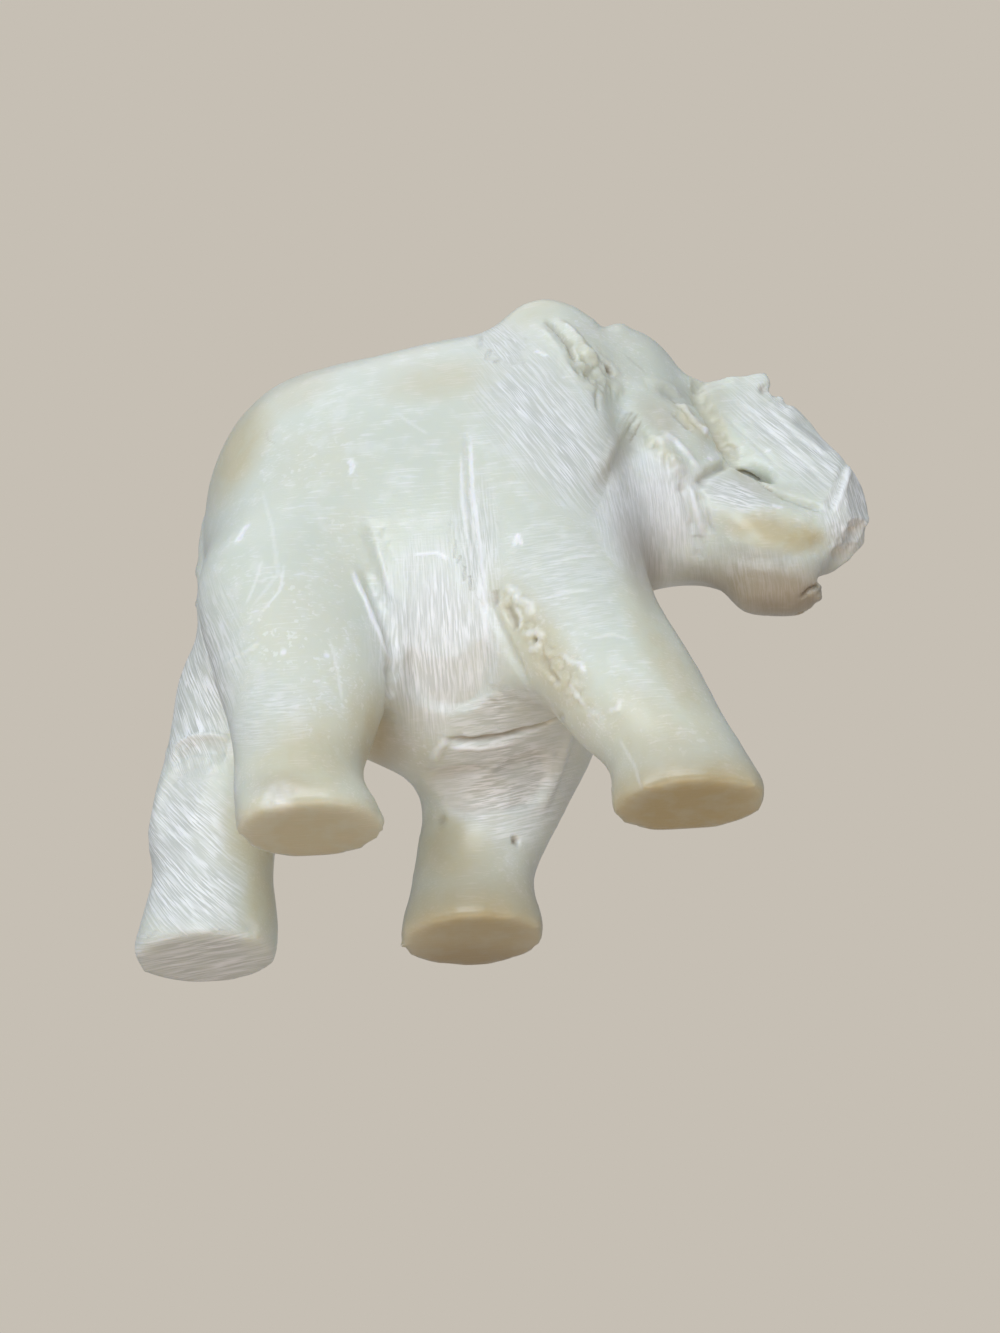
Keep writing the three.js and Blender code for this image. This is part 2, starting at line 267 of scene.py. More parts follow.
# Gouges, creases, nicks and scratches, most of them on the body and legs.
BODY_STROKES: tuple[Stroke, ...] = (
    Stroke(((466, 429), (468, 480), (474, 530), (482, 585)), 0.55, 0.5, Cut.SHARP, fresh=0.15),
    Stroke(((470, 438), (472, 490), (478, 535), (486, 598)), 0.35, -0.15, fresh=0.9),
    Stroke(((461, 455), (463, 500), (468, 545)), 0.3, -0.1, fresh=0.6),
    Stroke(((480, 575), (485, 610), (488, 650)), 0.35, 0.2, Cut.SHARP, fresh=0.7),
    Stroke(((376, 543), (384, 568), (392, 596)), 0.35, 0.2, Cut.SHARP, fresh=0.5),
    Stroke(((368, 520), (378, 548), (388, 580), (396, 604)), 1.5, 0.5),
    Stroke(((353, 572), (366, 600), (380, 634), (388, 656)), 0.5, -0.3, fresh=0.9),
    Stroke(((361, 566), (374, 594), (387, 626), (395, 660)), 1.2, 0.6),
    Stroke(((392, 655), (391, 690), (383, 736)), 1.4, 0.8, dirt_and_shade=0.06),
    Stroke(((444, 740), (470, 741), (498, 738), (525, 731), (545, 725), (563, 716)), 0.6, 0.9, dirt_and_shade=0.4),
    Stroke(((449, 748), (480, 749), (515, 743)), 0.5, -0.3, fresh=0.8),
    Stroke(((432, 762), (440, 748), (448, 738)), 0.7, -0.4, fresh=0.3),
    Stroke(((570, 729), (559, 768), (540, 812)), 1.2, -0.5, fresh=0.1),
    Stroke(((484, 590), (498, 622), (512, 652), (528, 684)), 1.0, 0.5),
    Stroke(((507, 603), (511, 615), (517, 630)), 0.8, 0.5, dirt_and_shade=0.3),
    Stroke(((495, 589), (496, 605)), 0.6, 0.3, dirt_and_shade=0.25),
    Stroke(((540, 655), (548, 668), (560, 684)), 0.7, 0.3, dirt_and_shade=0.15),
    Stroke(((505, 584), (513, 590), (519, 600), (529, 605), (530, 616)), 0.7, -0.25, fresh=0.35),
    Stroke(((516, 607), (521, 618), (520, 629)), 0.4, -0.2, fresh=0.3),
    Stroke(((526, 634), (536, 631), (543, 639)), 0.6, -0.2, fresh=0.4),
    Stroke(((528, 650), (537, 649), (541, 643)), 0.5, -0.15, fresh=0.35),
    Stroke(((563, 654), (569, 661), (580, 664), (584, 673)), 0.45, -0.25, fresh=0.4),
    Stroke(((570, 684), (576, 694), (585, 706)), 0.4, -0.15, fresh=0.35),
    Stroke(((608, 712), (617, 709), (619, 700)), 0.35, -0.1, fresh=0.3),
    Stroke(((172, 748), (184, 741), (197, 736), (212, 735), (227, 738)), 0.5, -0.7, fresh=0.3),
    Stroke(((168, 766), (184, 756), (204, 750), (227, 754)), 1.6, 0.7),
    Stroke(((223, 666), (240, 655), (260, 641)), 0.35, -0.2, Cut.SHARP, fresh=0.15),
    Stroke(((262, 490), (272, 526), (278, 574), (250, 609)), 0.3, 0.05, fresh=0.25),
    Stroke(((413, 555), (437, 553), (449, 560)), 0.3, 0.08, fresh=0.7),
    Stroke(((349, 459), (353, 466), (350, 474)), 0.4, 0.12, fresh=1.0),
    Stroke(((514, 546), (518, 536), (522, 545)), 0.35, 0.12, fresh=1.0),
    Stroke(((534, 350), (541, 353), (546, 357)), 0.45, 0.12, fresh=0.9),
    Stroke(((770, 506), (777, 509), (783, 508)), 0.35, 0.1, fresh=0.9),
    Stroke(((765, 450), (771, 451)), 0.3, 0.1, fresh=0.8),
    Stroke(((398, 414), (412, 424), (428, 434)), 0.3, 0.05, fresh=0.3),
    Stroke(((266, 431), (268, 440), (277, 444)), 0.25, 0.06, dirt_and_shade=0.25),
    Stroke(((237, 542), (242, 532), (248, 523)), 0.6, 0.12, fresh=1.0),
    Stroke(((284, 565), (280, 590), (262, 612)), 0.25, 0.05, fresh=0.5),
    Stroke(((262, 560), (256, 580), (246, 604)), 0.25, 0.05, fresh=0.4),
    Stroke(((330, 640), (338, 672), (342, 700)), 0.25, 0.05, fresh=0.4),
    Stroke(((560, 560), (580, 556), (602, 556)), 0.25, 0.05, fresh=0.4),
    Stroke(((540, 600), (566, 592), (590, 590)), 0.25, 0.05, fresh=0.4),
    Stroke(((585, 640), (612, 634), (630, 640)), 0.25, 0.05, fresh=0.35),
    Stroke(((620, 740), (634, 765), (642, 790)), 0.25, 0.05, fresh=0.35),
)

STROKES = EAR_STROKES + FACE_STROKES + TRUNK_STROKES + BODY_STROKES

# Dents and lumps.
DABS: tuple[Dab, ...] = (
    # The brown in the ear's crevice and pits is dirt with painted shade, darkest in the deepest pits.
    Dab((592, 371), 2.8, 1.1, dirt_and_shade=0.1, mirrored=True),
    Dab((609, 370), 0.8, 0.7, dirt_and_shade=0.7, mirrored=True),
    Dab((581, 371), 0.7, 0.5, dirt_and_shade=0.4, mirrored=True),
    Dab((600, 384), 0.8, 0.4, dirt_and_shade=0.2),
    Dab((672, 396), 2.2, 0.45, dirt_and_shade=0.2, mirrored=True),
    Dab((709, 459), 0.5, 0.1, fresh=1.0),
    Dab((763, 388), 0.9, 0.6, dirt_and_shade=0.4),
    Dab((703, 432), 0.7, -0.3, fresh=0.6),
    Dab((663, 442), 1.2, -0.3, fresh=0.35),
    Dab((534, 640), 0.5, 0.7, dirt_and_shade=0.4),
    Dab((441, 821), 1.2, 0.35, dirt_and_shade=0.25),
    Dab((516, 841), 0.7, 0.7, dirt_and_shade=0.6),
    Dab((277, 797), 2.2, 0.3, fresh=0.35),
    Dab((386, 824), 1.3, 0.3),
    Dab((378, 846), 1.3, 0.3),
    Dab((250, 927), 1.4, 0.3, fresh=0.2),
    Dab((283, 652), 0.5, 0.08, fresh=0.8),
    Dab((327, 655), 0.4, 0.08, fresh=0.7),
)

# Corners and notches of the outline at the skull, the trunk's tip and bend, and the lip.
NUDGES: tuple[Nudge, ...] = (
    Nudge((603, 321), 12, (0, 4)),
    Nudge((622, 324), 14, (1, -3)),
    Nudge((756, 383), 16, (9, -7)),
    Nudge((778, 388), 11, (-7, 6)),
    Nudge((785, 405), 9, (-2, 3)),
    Nudge((852, 533), 9, (-6, -4)),
    Nudge((838, 554), 9, (-5, -5)),
    Nudge((863, 520), 8, (3, 2)),
    Nudge((824, 580), 8, (-9, 1)),
    Nudge((818, 597), 8, (3, 2)),
)

# Flats of the chisel on the trunk, the legs and the belly.
FACETS: tuple[Facet, ...] = (
    Facet((857, 492), 5.5, 0.9, (0.5, 0.0)),
    Facet((858, 528), 3.2, 0.9, (0.5, -0.4), 0.3),
    Facet((846, 550), 3.2, 0.6, (0.5, -0.7), 0.2),
    Facet((778, 392), 4.5, 0.45, (0.6, 0.3), 0.1),
    Facet((812, 434), 4.0, 0.5, (0.5, 0.5), 0.1),
    Facet((712, 384), 3.0, 0.5, (-0.4, 0.6)),
    Facet((463, 786), 5.0, 0.35, (-0.25, 0.1), 0.35),
    Facet((520, 778), 5.0, 0.3, (0.1, 0.1), 0.1),
    Facet((450, 668), 6.0, 0.3, (0.0, -0.15), 0.1),
    Facet((190, 800), 6.0, 0.35, (-0.2, 0.1), 0.1),
)

# Broken stone at the ear, the face, the trunk, the right foreleg, the belly and the left hind leg.
CRUMBLED: tuple[CrumbledPatch, ...] = (
    CrumbledPatch((596, 371), (34, 16), 48, 1.0, crumb=2.0, relief=0.5, dirt_and_shade=0.12),
    CrumbledPatch((662, 454), (26, 9), 42, 1.0, crumb=1.8, relief=0.4, dirt_and_shade=0.1),
    CrumbledPatch((690, 416), (24, 11), 42, 0.8, crumb=1.8, relief=0.3, dirt_and_shade=0.1),
    CrumbledPatch((519, 610), (28, 12), 62, 0.9, crumb=1.4, relief=0.3, dirt_and_shade=0.1),
    CrumbledPatch((562, 674), (56, 14), 52, 0.9, crumb=1.4, relief=0.3, dirt_and_shade=0.1),
    CrumbledPatch((850, 540), (26, 14), 115, 0.9, crumb=2.2, relief=0.5, dirt_and_shade=0.05),
    CrumbledPatch((777, 394), (18, 10), 60, 0.9, crumb=1.6, relief=0.4, dirt_and_shade=0.08),
    CrumbledPatch((183, 745), (40, 8), -12, 0.8, crumb=1.6, relief=0.3, dirt_and_shade=0.04),
    CrumbledPatch((500, 700), (45, 12), -8, 0.7, crumb=2.0, relief=0.3, dirt_and_shade=0.1),
    CrumbledPatch((812, 592), (14, 8), -20, 0.8, crumb=1.6, relief=0.3, dirt_and_shade=0.05),
)

# Areas left from the rasp.
RASPED: tuple[RaspedPatch, ...] = (
    RaspedPatch((550, 428), (100, 46), 52, 0.8, way=53, furrow=0.06, run=4.5, white=0.15),
    RaspedPatch((650, 512), (60, 50), 80, 1.0, way=82, furrow=0.06, run=3.0, white=0.65),
    RaspedPatch((438, 640), (85, 58), 88, 1.0, way=86, furrow=0.10, run=4.0, white=0.3),
    RaspedPatch((486, 712), (62, 24), -5, 0.6, way=-8, furrow=0.05, run=3.0),
    RaspedPatch((505, 780), (60, 60), -8, 1.0, way=-9, furrow=0.10, run=3.0, white=0.15),
    RaspedPatch((193, 690), (100, 42), 96, 0.85, way=62, furrow=0.05, run=3.5),
    RaspedPatch((185, 862), (90, 60), 75, 1.0, way=38, furrow=0.08, run=4.0, white=0.1),
    RaspedPatch((205, 958), (80, 34), 2, 0.75, way=-12, furrow=0.03, run=6.0),
    RaspedPatch((765, 582), (75, 36), 10, 0.5, way=80, furrow=0.04, run=3.0),
    RaspedPatch((800, 440), (80, 34), 42, 0.75, way=44, furrow=0.08, run=4.5),
    RaspedPatch((850, 505), (50, 24), 100, 1.0, way=75, furrow=0.10, run=2.5, white=0.2),
    RaspedPatch((735, 495), (34, 16), 20, 0.9, way=15, furrow=0.05, run=2.5, white=0.15),
    RaspedPatch((478, 560), (75, 24), 86, 0.6, way=84, furrow=0.06, run=3.5),
    RaspedPatch((565, 575), (70, 70), 0, 0.3, way=-10, furrow=0.03, run=3.0),
    RaspedPatch((505, 345), (42, 22), 60, 0.6, way=56, furrow=0.05, run=3.0),
    RaspedPatch((275, 725), (55, 48), 0, 0.4, way=-6, furrow=0.02, run=2.5, white=0.12),
)

# Thin soiling by hands and dust, mixed with painted shade: warm brown shade under the jaw and throat, on the
# soles and the lower left foreleg, at the brow and eye, in the valley beside the trunk's slab, in the slit,
# along the neck's underside, on the right hind foot and in the crease between the hind leg and the belly.
SOILED_AND_SHADED: tuple[Patch, ...] = (
    # Painted shade under the jaw and throat.
    Patch((770, 590), (82, 34), 8, 0.68),
    # Painted shade and dust on the soles and the lower left foreleg.
    Patch((680, 795), (95, 55), -5, 0.28),
    Patch((480, 915), (95, 65), 0, 0.3),
    Patch((475, 968), (85, 32), 0, 0.55),
    Patch((492, 702), (70, 24), -5, 0.1),
    # Painted shade at the brow, brown soiling in the ear's hollow, then painted shade beside the trunk's slab,
    # at the eye, in the slit and along the neck's underside.
    Patch((674, 397), (24, 12), 20, 0.14),
    Patch((622, 448), (40, 14), 122, 0.28),
    Patch((716, 398), (26, 12), 62, 0.16),
    Patch((658, 418), (28, 15), 42, 0.3),
    Patch((752, 484), (26, 10), 25, 0.14),
    Patch((640, 562), (50, 18), 68, 0.4),
    # Painted shade on the right hind foot and, after a patch of soiling, in the crease between the hind leg and
    # the belly.
    Patch((280, 785), (32, 14), 0, 0.2),
    Patch((445, 845), (26, 30), 0, 0.2),
    Patch((388, 748), (32, 20), 100, 0.3),
)

# Honey tints in the stone.
STAINED: tuple[Patch, ...] = (
    Patch((768, 531), (42, 16), 14, 0.55),
    Patch((800, 539), (26, 14), 0, 0.6),
    Patch((692, 812), (105, 50), -5, 0.8),
    Patch((312, 838), (92, 46), 0, 0.6),
    Patch((475, 945), (92, 60), 0, 0.68),
    Patch((265, 885), (60, 22), 100, 0.4),
    Patch((535, 302), (46, 18), -25, 0.22),
    Patch((545, 655), (85, 24), 58, 0.35),
    Patch((356, 730), (45, 14), 95, 0.28),
    Patch((592, 368), (34, 15), 48, 0.15),
    Patch((238, 450), (60, 22), 118, 0.5),
    Patch((296, 392), (40, 16), 150, 0.22),
    Patch((440, 380), (55, 20), -10, 0.28),
    Patch((372, 738), (48, 18), 95, 0.5),
    Patch((310, 762), (62, 46), 0, 0.38),
    Patch((672, 668), (95, 18), 60, 0.34),
    Patch((650, 735), (60, 45), 30, 0.25),
    Patch((450, 850), (42, 38), 0, 0.4),
    Patch((717, 426), (50, 9), 62, 0.3),
    Patch((691, 421), (24, 6), 47, 0.35),
    Patch((664, 456), (26, 10), 42, 0.25),
)


@dataclass(frozen=True)
class PhotoView:
    """The camera as the photograph was taken, seen from the elephant.

    Args:
        size_px: Width and height of the photograph.
        focal_px: Focal length, in pixels.
        aim: Point on the view axis.
        distance: From the camera to that point.
        fall: Angle of the view axis below the level of the soles, in degrees.
        roll: Turn about the view axis, in degrees.
        near_m: Nearest distance that the camera draws, in metres.
    """

    size_px: tuple[int, int] = (1000, 1333)
    focal_px: float = 1900.0
    aim: tuple[float, float, float] = (-1.01, -0.91, 31.5)
    distance: float = 247.0
    fall: float = 34.0
    roll: float = 3.5
    near_m: float = 0.01

    def axes(self) -> tuple[np.ndarray, np.ndarray, np.ndarray]:
        """Directions of the view axis, the picture's right and the picture's top."""
        fall = math.radians(self.fall)
        roll = math.radians(self.roll)
        forward = np.array((0.0, math.cos(fall), math.sin(fall)))
        level = np.array((1.0, 0.0, 0.0))
        rise = np.array((0.0, -math.sin(fall), math.cos(fall)))
        right = math.cos(roll) * level - math.sin(roll) * rise
        top = math.sin(roll) * level + math.cos(roll) * rise
        return forward, right, top

    def place(self) -> np.ndarray:
        """Place of the camera."""
        return np.array(self.aim) - self.distance * self.axes()[0]

    def ray(self, pixel: Pixel) -> np.ndarray:
        """Direction in which the camera sees a pixel.

        Args:
            pixel: Place in the photograph.

        Returns:
            Unit direction.
        """
        forward, right, top = self.axes()
        along = (pixel[0] - self.size_px[0] / 2) / self.focal_px
        down = (pixel[1] - self.size_px[1] / 2) / self.focal_px
        way = forward + along * right - down * top
        return way / np.linalg.norm(way)

    def pixels_of(self, places: np.ndarray) -> np.ndarray:
        """Pixels at which the camera sees places.

        Args:
            places: Places in millimetres, one row each.

        Returns:
            Pixels, one row each.
        """
        forward, right, top = self.axes()
        away = places - self.place()
        deep = away @ forward
        across = self.size_px[0] / 2 + self.focal_px * (away @ right) / deep
        down = self.size_px[1] / 2 - self.focal_px * (away @ top) / deep
        return np.stack((across, down), axis=1)

    def make_camera(self) -> bpy.types.Object:
        """Adds the camera and makes it the scene's camera.

        Returns:
            The camera object.
        """
        forward, right, top = self.axes()
        bpy.ops.object.camera_add()
        camera = bpy.context.active_object
        camera.name = "photo_view"
        turn = Matrix((right, top, -forward)).transposed().to_4x4()
        camera.matrix_world = Matrix.Translation(Vector(self.place() * MM)) @ turn
        camera.data.sensor_fit = "VERTICAL"
        camera.data.lens = self.focal_px / self.size_px[1] * camera.data.sensor_height
        camera.data.clip_start = self.near_m
        bpy.context.scene.camera = camera
        return camera


def linear(colour: str) -> tuple[float, float, float, float]:
    """Turns an sRGB hex colour into linear light.

    Args:
        colour: Six hex digits after a hash sign.

    Returns:
        Red, green, blue and full alpha.
    """
    toe_end, toe_slope, offset, power = 0.04045, 12.92, 0.055, 2.4
    shares = [byte / 255 for byte in bytes.fromhex(colour[1:])]
    light = [s / toe_slope if s <= toe_end else ((s + offset) / (1 + offset)) ** power for s in shares]
    return light[0], light[1], light[2], 1.0


def smoothstep(share: np.ndarray) -> np.ndarray:
    """Eases a share at both ends.

    Args:
        share: Values from 0 to 1.

    Returns:
        Eased values, level at 0 and at 1.
    """
    return share * share * (3 - 2 * share)


def empty_tree(owner: bpy.types.Material | bpy.types.World) -> bpy.types.NodeTree:
    """Gives a material or the surroundings an empty node tree.

    Args:
        owner: Material or world that gets the tree.

    Returns:
        The empty tree.
    """
    owner.use_nodes = True
    owner.node_tree.nodes.clear()
    return owner.node_tree


def add_node(
    tree: bpy.types.NodeTree, kind: str, settings: dict | None = None, inputs: dict | None = None
) -> bpy.types.Node:
    """Adds a shader node with its settings and links.

    Args:
        tree: Node tree to add to.
        kind: Blender's name of the node, without ShaderNode in front.
        settings: Properties to set, by name.
        inputs: Sockets to set or link, by name or number: an output socket is linked, a plain value is set.

    Returns:
        The new node.
    """
    node = tree.nodes.new(f"ShaderNode{kind}")
    for name, value in (settings or {}).items():
        setattr(node, name, value)
    for name, value in (inputs or {}).items():
        if isinstance(value, bpy.types.NodeSocket):
            tree.links.new(value, node.inputs[name])
        else:
            node.inputs[name].default_value = value
    return node


@dataclass(frozen=True)
class Pattern:
    """A cloudy or streaky pattern in the stone.

    Args:
        name: What it draws.
        size: Size of its parts along three axes; along the rasp, the second is in stroke lengths.
        detail: How many finer levels it has.
        rasped: Whether it runs along the rasp strokes instead of the piece's axes.
    """

    name: str
    size: tuple[float, float, float]
    detail: float
    rasped: bool = False


@dataclass(frozen=True)
class Share:
    """A value that follows a pattern or a mark.

    Args:
        name: What it steers.
        source: Pattern, mark or earlier share that it follows.
        low: Value of the source at which it leaves its start.
        high: Value of the source at which it reaches its end.
        start: Its value at the low end.
        end: Its value at the high end.
        within: Mark or earlier share that it is multiplied by; nothing if it is empty.
    """

    name: str
    source: str
    low: float
    high: float
    start: float = 0.0
    end: float = 1.0
    within: str = ""


@dataclass(frozen=True)
class Alabaster:
    """Alabaster carved by hand: rubbed to a soft polish, with chalky white where the rasp marks were left.

    The polish lets light into the stone, so it looks deep and faintly green. Bruised and rasped stone throws
    the light straight back and looks white. Brown dirt lies in the cuts, and the same brown paints shade in the
    cuts, under the jaw and neck and on the soles. The grain and the rasp's streaks are drawn coarser than they
    are, since they would be too fine to show.

    Args:
        name: Name of the material.
        pale: Colour of most of the polished stone.
        milk: Colour of its whiter clouds.
        cream: Colour of its warmer clouds.
        honey: Colour of the stained stone.
        chalk: Colour of bruised stone and of the ridges between rasp marks.
        chalk_shade: Colour at the bottom of the rasp marks.
        dirt_and_shade: Colour of the dirt in the cuts, and of the painted shade in the cuts, under the jaw and
            neck and on the soles.
        ior: Refractive index of gypsum.
        scatter_mm: How deep red light goes into the stone.
        scatter_colour: How deep each colour goes, as shares of that.
        stray_mm: How far the rasp marks stray from straight.
        stray_step_mm: Length over which they stray.
        marks: Values that the piece keeps for the stone.
        patterns: Patterns in the stone.
        shares: What follows from the marks and the patterns, in order.
        relief: Fine relief: what gives its height, and its depth in millimetres.
    """

    name: str = "hand_carved_alabaster"
    pale: str = "#E0E4D9"
    milk: str = "#ECEEE8"
    cream: str = "#E8E3CF"
    honey: str = "#C8B06E"
    chalk: str = "#FFFFFF"
    chalk_shade: str = "#CBCDC7"
    dirt_and_shade: str = "#8E734A"
    ior: float = 1.52
    scatter_mm: float = 2.4
    scatter_colour: tuple[float, float, float] = (1.0, 0.88, 0.66)
    stray_mm: float = 0.5
    stray_step_mm: float = 7.0
    marks: tuple[str, ...] = ("rasped", "combed", "dirt_and_shade", "stain", "fresh")
    patterns: tuple[Pattern, ...] = (
        Pattern("cloud", (14.0, 14.0, 14.0), 3.0),
        Pattern("mottle", (3.0, 3.0, 3.0), 4.0),
        Pattern("fleck", (0.8, 0.8, 0.8), 2.0),
        Pattern("grain", (0.3, 0.3, 0.3), 2.0),
        Pattern("sanding", (4.5, 0.26, 0.26), 2.0),
        Pattern("streak", (0.22, 1.0, 1.0), 2.0, rasped=True),
        Pattern("furrow", (0.8, 2.0, 1.0), 2.0, rasped=True),
    )
    shares: tuple[Share, ...] = (
        Share("warm", "cloud", 0.38, 0.72, 0.0, 0.35),
        Share("milky", "mottle", 0.48, 0.72, 0.0, 0.6),
        Share("scuffed", "mottle", 0.35, 0.60),
        Share("scratched", "sanding", 0.54, 0.66, 0.0, 0.35, "scuffed"),
        Share("clouded", "cloud", 0.50, 0.65, 0.0, 0.4),
        Share("flecked", "fleck", 0.60, 0.68, 0.0, 1.0, "clouded"),
        Share("stained", "mottle", 0.30, 0.60, 0.7, 1.0, "stain"),
        Share("chalky", "mottle", 0.20, 0.55, 0.7, 1.0, "rasped"),
        Share("bundled", "furrow", 0.34, 0.56, 0.4, 1.0, "chalky"),
        Share("ridged", "streak", 0.43, 0.57, 0.0, 1.0, "bundled"),
        Share("combed_stone", "combed", 0.0, 1.0, 0.0, 1.0, "chalky"),
        Share("streak_height", "streak", 0.2, 0.8, 0.0, 1.0, "combed_stone"),
        Share("furrow_height", "furrow", 0.2, 0.8, 0.0, 1.0, "combed_stone"),
        Share("roughness", "chalky", 0.0, 1.0, 0.30, 0.52),
        Share("depth", "chalky", 0.0, 0.8, 0.90, 0.12),
    )
    relief: tuple[tuple[str, float], ...] = (
        ("grain", 0.012),
        ("sanding", 0.02),
        ("streak_height", 0.04),
        ("furrow_height", 0.05),
    )

    def make(self) -> bpy.types.Material:
        """Makes the material.

        Returns:
            The finished material.
        """
        material = bpy.data.materials.new(self.name)
        tree = empty_tree(material)
        values = self.read_values(tree)
        colour = linear(self.pale)
        layers = (
            ("warm", self.cream),
            ("milky", self.milk),
            ("scratched", self.chalk),
            ("flecked", self.chalk),
            ("stained", self.honey),
            ("chalky", self.chalk_shade),
            ("ridged", self.chalk),
            ("fresh", self.chalk),
            # Brown dirt, and painted shade in the cuts and on the undersides.
            ("dirt_and_shade", self.dirt_and_shade),
        )
        for share, over in layers:
            sockets = {MIX_SHARE: values[share], MIX_UNDER: colour, MIX_OVER: linear(over)}
            colour = add_node(tree, "Mix", {"data_type": "RGBA"}, sockets).outputs[MIX_RESULT]
        normal = add_node(tree, "NewGeometry").outputs["Normal"]
        for height, depth_mm in self.relief:
            sockets = {"Distance": depth_mm * MM, "Height": values[height], "Normal": normal}
            normal = add_node(tree, "Bump", {}, sockets).outputs[0]
        shader = add_node(
            tree,
            "BsdfPrincipled",
            {"subsurface_method": "RANDOM_WALK"},
            {
                "Base Color": colour,
                "Roughness": values["roughness"],
                "IOR": self.ior,
                "Subsurface Weight": values["depth"],
                "Subsurface Radius": self.scatter_colour,
                "Subsurface Scale": self.scatter_mm * MM,
                "Normal": normal,
            },
        )
        add_node(tree, "OutputMaterial", {}, {"Surface": shader.outputs[0]})
        return material

    def read_values(self, tree: bpy.types.NodeTree) -> dict[str, bpy.types.NodeSocket]:
        """Adds the piece's marks, the patterns and the shares.

        Args:
            tree: Node tree to add to.

        Returns:
            Output socket of each, by name.
        """
        values = {}
        for name in self.marks:
            values[name] = add_node(tree, "Attribute", {"attribute_name": name}).outputs["Fac"]
        place = add_node(tree, "TexCoord").outputs["Object"]
        rasp_place = add_node(tree, "Attribute", {"attribute_name": "rasp_place"}).outputs["Vector"]
        per_step = 1 / (self.stray_step_mm * MM)
        stray = add_node(tree, "TexNoise", {}, {"Vector": place, "Scale": per_step, "Detail": 1.0})
        strokes = add_node(
            tree,
            "VectorMath",
            {"operation": "MULTIPLY_ADD"},
            {0: stray.outputs["Color"], 1: (self.stray_mm, 0.0, 0.0), 2: rasp_place},
        ).outputs[0]
        for pattern in self.patterns:
            unit = 1.0 if pattern.rasped else MM
            sizes = tuple(size * unit for size in pattern.size)
            sockets = {0: strokes if pattern.rasped else place, 1: sizes}
            steps = add_node(tree, "VectorMath", {"operation": "DIVIDE"}, sockets).outputs[0]
            sockets = {"Vector": steps, "Scale": 1.0, "Detail": pattern.detail}
            values[pattern.name] = add_node(tree, "TexNoise", {}, sockets).outputs["Fac"]
        for share in self.shares:
            sockets = {
                "Value": values[share.source],
                "From Min": share.low,
                "From Max": share.high,
                "To Min": share.start,
                "To Max": share.end,
            }
            ramp = add_node(tree, "MapRange", {"interpolation_type": "SMOOTHSTEP"}, sockets).outputs[0]
            sockets = {0: ramp, 1: values[share.within] if share.within else 1.0}
            values[share.name] = add_node(tree, "Math", {"operation": "MULTIPLY"}, sockets).outputs[0]
        return values


@dataclass
class Marks:
    """What is worked into the skin, with one value for each vertex.

    Args:
        depth: How far the stone is cut away.
        dirt_and_shade: Share of brown dirt and of painted shade.
        fresh: Share of bruised white stone.
    """

    depth: np.ndarray
    dirt_and_shade: np.ndarray
    fresh: np.ndarray

    def add(self, shape: np.ndarray, depth: np.ndarray | float, dirt_and_shade: float, fresh: float) -> None:
        """Adds one cut.

        Args:
            shape: Its strength at each vertex, from 0 to 1.
            depth: How far it goes in.
            dirt_and_shade: Share of dirt, with painted shade, that lies in it.
            fresh: Share of bruised white stone on it.
        """
        bruise_spread = 2
        self.depth += depth * shape
        self.dirt_and_shade = np.maximum(self.dirt_and_shade, dirt_and_shade * shape)
        self.fresh = np.maximum(self.fresh, fresh * np.clip(bruise_spread * shape, 0.0, 1.0))


